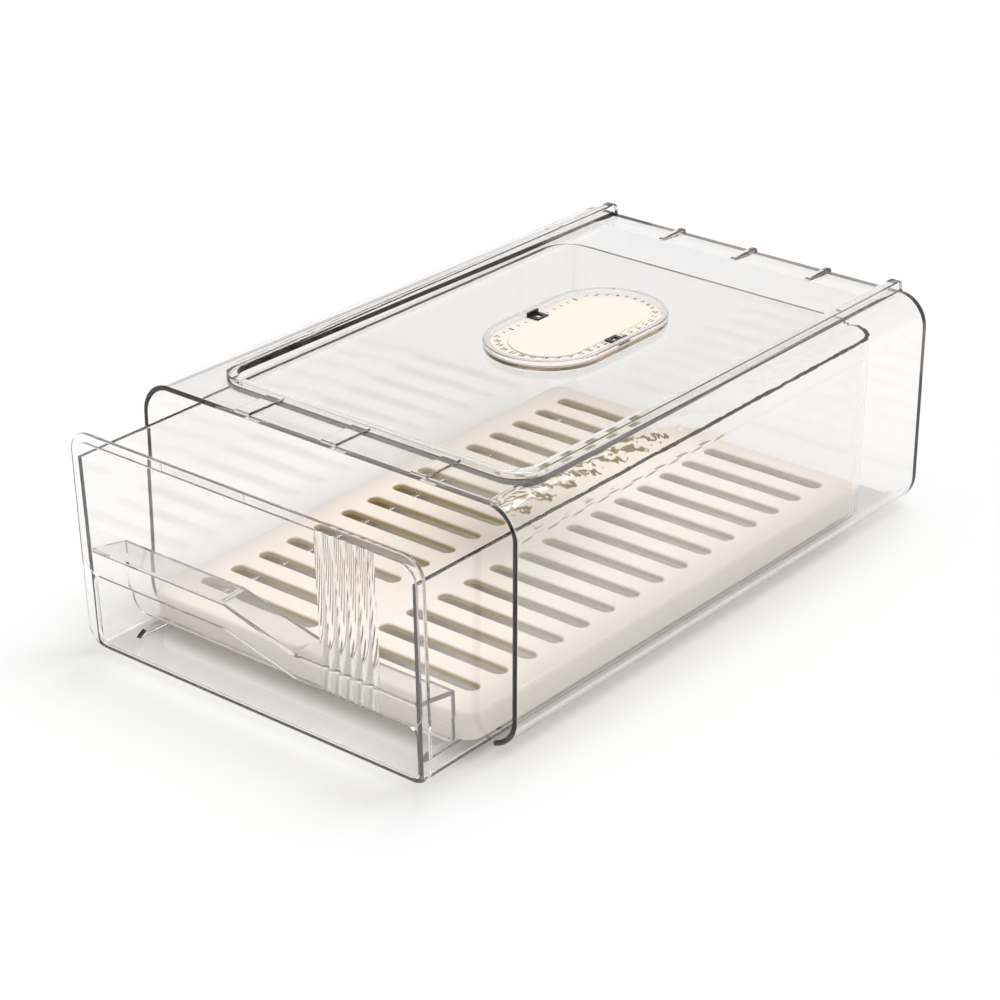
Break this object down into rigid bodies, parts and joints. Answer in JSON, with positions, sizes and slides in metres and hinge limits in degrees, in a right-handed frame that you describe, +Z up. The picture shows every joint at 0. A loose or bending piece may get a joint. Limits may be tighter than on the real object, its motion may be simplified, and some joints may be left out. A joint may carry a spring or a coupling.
{
  "type": "fridge drawer organizer",
  "caption": "Clear sleeve with a drawer that slides out at the front, a lift-out slotted drain tray inside it, and a date dial with sliding pointers on its raised-rim top.",
  "frame": {"origin": "centre of the overall box's underside, with the drawer standing out as stored", "axes": "+X to the drawer front's right as seen from in front, +Y from the drawer's front towards the closed back, +Z up"},
  "size_m": [0.2, 0.342, 0.1079],
  "materials": {
    "clear_shell": "clear polished injection moulding",
    "clear_dial": "clear polished injection moulding",
    "cream_tray": "satin cream",
    "cream_dial": "satin cream with printed numbers",
    "black_pointer": "black moulded"
  },
  "bodies": {
    "casing": {"casing_shell": "clear_shell", "dial_cup": "clear_dial", "dial_plate": "cream_dial"},
    "drawer": {"drawer_tub": "clear_shell", "drawer_front": "clear_shell"},
    "tray": {"drain_tray": "cream_tray"},
    "left_pointer": {"date_pointer_left": "black_pointer"},
    "right_pointer": {"date_pointer_right": "black_pointer"}
  },
  "joints": [
    {"name": "drawer_slide", "type": "slide", "parent": "casing", "child": "drawer", "axis": [0, -1, 0], "range_m": [-0.02, 0.19]},
    {"name": "tray_lift", "type": "slide", "parent": "drawer", "child": "tray", "axis": [0, 0, 1], "range_m": [0, 0.075]},
    {"name": "left_pointer_slide", "type": "slide", "parent": "casing", "child": "left_pointer", "axis": [0, 1, 0], "range_m": [-0.016, 0.016]},
    {"name": "right_pointer_slide", "type": "slide", "parent": "casing", "child": "right_pointer", "axis": [0, 1, 0], "range_m": [-0.016, 0.016]}
  ]
}
